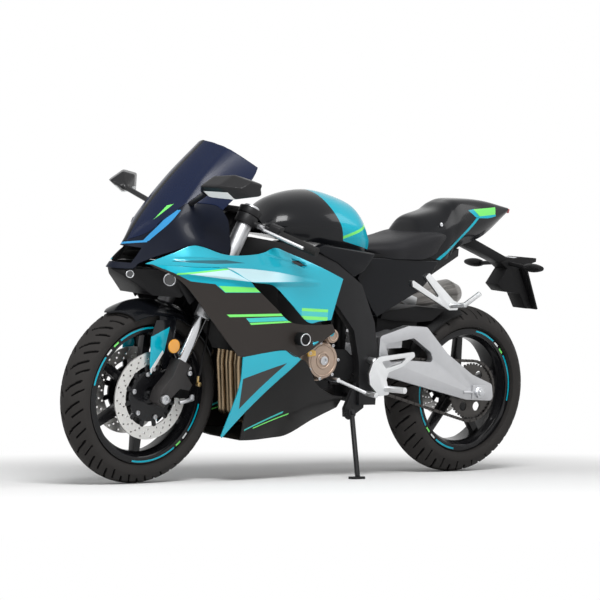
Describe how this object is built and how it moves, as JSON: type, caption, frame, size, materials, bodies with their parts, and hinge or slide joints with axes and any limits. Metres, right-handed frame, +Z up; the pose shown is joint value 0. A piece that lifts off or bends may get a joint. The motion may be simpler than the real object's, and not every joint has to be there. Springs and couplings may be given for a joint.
{
  "type": "sport motorcycle",
  "caption": "Fully faired sport motorcycle with turning wheels, steering fork and folding side stand, parked leaning on the stand.",
  "frame": {"origin": "centre of the parked bike's box, on the ground", "axes": "+X forward, +Y to the rider's left (the stand side), +Z up; the bike leans towards +Y as parked"},
  "size_m": [2.0357, 0.7724, 1.1338],
  "materials": {
    "black_paint": "gloss black bodywork",
    "cyan_paint": "metallic cyan bodywork",
    "slate_paint": "satin slate side panels",
    "dark_metal": "satin dark grey frame",
    "engine_metal": "cast engine cases",
    "silver": "brushed silver alloy",
    "bright": "polished steel",
    "disc_steel": "ground steel",
    "pipe": "heat-tinted steel pipe",
    "black_plastic": "textured black plastic",
    "tyre": "road tyre rubber",
    "grip_rubber": "moulded grips",
    "seat_cover": "black seat cover",
    "screen": "dark tinted screen",
    "lamp_clear": "clear lamp lens",
    "lamp_red": "red lamp lens",
    "lamp_amber": "amber lamp lens",
    "rim_black": "gloss black wheel"
  },
  "bodies": {
    "chassis": {"main_frame": "dark_metal", "seat_subframe": "dark_metal", "engine_block": "engine_metal", "generator_cover": "engine_metal", "clutch_cover": "engine_metal", "drive_sprocket_cover": "engine_metal", "radiator": "black_plastic", "exhaust_headers": "pipe", "muffler": "disc_steel", "fuel_tank": "cyan_paint", "tank_side_covers": "black_paint", "rider_seat": "seat_cover", "tail_cowl": "black_paint", "tail_lamp": "lamp_red", "underseat_box": "black_plastic", "plate_hanger": "black_plastic", "rear_indicators": "lamp_amber", "swingarm": "silver", "rear_axle": "bright", "chain": "disc_steel", "rear_hugger": "black_plastic", "shock_absorber": "dark_metal", "wing_panels": "cyan_paint", "mid_panels": "slate_paint", "lower_panels": "cyan_paint", "belly_pan": "black_paint", "nose_cowl": "black_paint", "windscreen": "screen", "headlamp_housing": "black_plastic", "headlamps": "lamp_clear", "fairing_stay": "dark_metal", "dash": "black_plastic", "mirrors": "black_plastic", "rider_rests": "silver", "pillion_rests": "silver", "foot_levers": "silver", "stand_bracket": "dark_metal", "crash_bobbins": "black_plastic"},
    "steering": {"fork_outer_tubes": "silver", "fork_stanchions": "bright", "fork_feet": "dark_metal", "front_axle": "bright", "triple_clamps": "dark_metal", "clip_ons": "dark_metal", "grips": "grip_rubber", "levers": "silver", "front_fender": "black_paint", "front_calipers": "dark_metal"},
    "front_wheel": {"front_rim": "rim_black", "front_tyre": "tyre", "front_discs": "disc_steel"},
    "rear_wheel": {"rear_rim": "rim_black", "rear_tyre": "tyre", "rear_disc": "disc_steel", "rear_sprocket": "disc_steel"},
    "side_stand": {"side_stand": "dark_metal"}
  },
  "joints": [
    {"name": "steering_turn", "type": "hinge", "parent": "chassis", "child": "steering", "pos_m": [0.50831, -0.04175, 0.63042], "axis": [-0.4226, 0.1073, 0.8999], "range_deg": [-31, 19]},
    {"name": "front_wheel_spin", "type": "hinge", "parent": "steering", "child": "front_wheel", "pos_m": [0.7189, -0.07619, 0.29763], "axis": [-0.0947, 0.9823, -0.1616], "continuous": true},
    {"name": "rear_wheel_spin", "type": "hinge", "parent": "chassis", "child": "rear_wheel", "pos_m": [-0.67085, -0.0799, 0.31043], "axis": [0, 0.993, -0.1184], "continuous": true},
    {"name": "side_stand_fold", "type": "hinge", "parent": "chassis", "child": "side_stand", "pos_m": [-0.06685, 0.05033, 0.22022], "axis": [-0.0825, 0.9351, 0.3447], "range_deg": [0, 90]}
  ]
}
